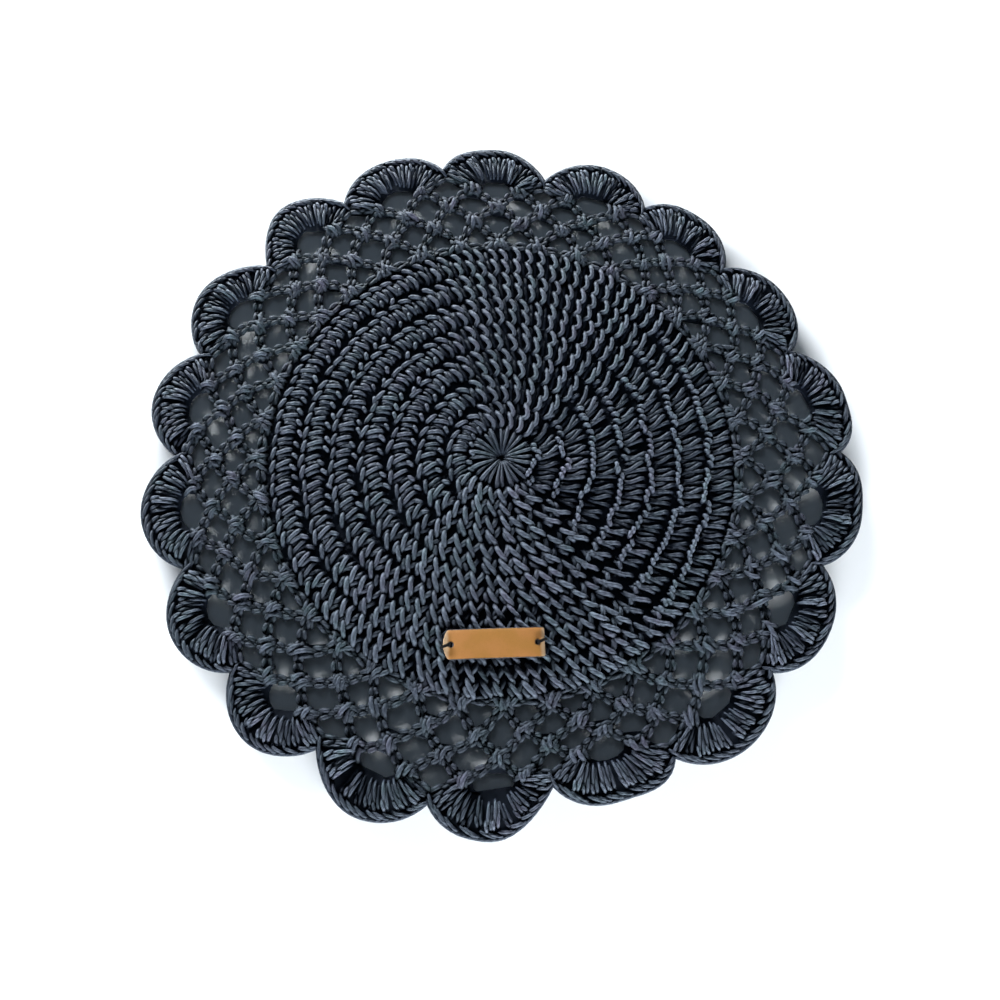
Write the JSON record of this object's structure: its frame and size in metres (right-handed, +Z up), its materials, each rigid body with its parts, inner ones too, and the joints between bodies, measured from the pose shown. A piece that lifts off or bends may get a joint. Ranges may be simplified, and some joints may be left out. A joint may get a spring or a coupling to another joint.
{
  "type": "crochet placemat",
  "caption": "Round crochet placemat of thick dark cord with a solid middle, a net of chain loops, a scalloped shell border and a small leather tab.",
  "frame": {"origin": "middle of the first round, on the table under the mat", "axes": "+Z up out of the mat's upper side, -Y towards the edge that the tab is sewn nearest, +X to the right seen from there"},
  "size_m": [0.3842, 0.3838, 0.0096],
  "materials": {
    "cord": "smooth satin polyester cord, charcoal with a slight blue tint",
    "leather": "tan vegetable-tanned leather, matt, worn paler at the ends",
    "thread": "matt dark sewing thread"
  },
  "bodies": {
    "root": {"mat": "cord", "tab": "leather", "tab_thread_left": "thread", "tab_thread_right": "thread"}
  },
  "joints": []
}
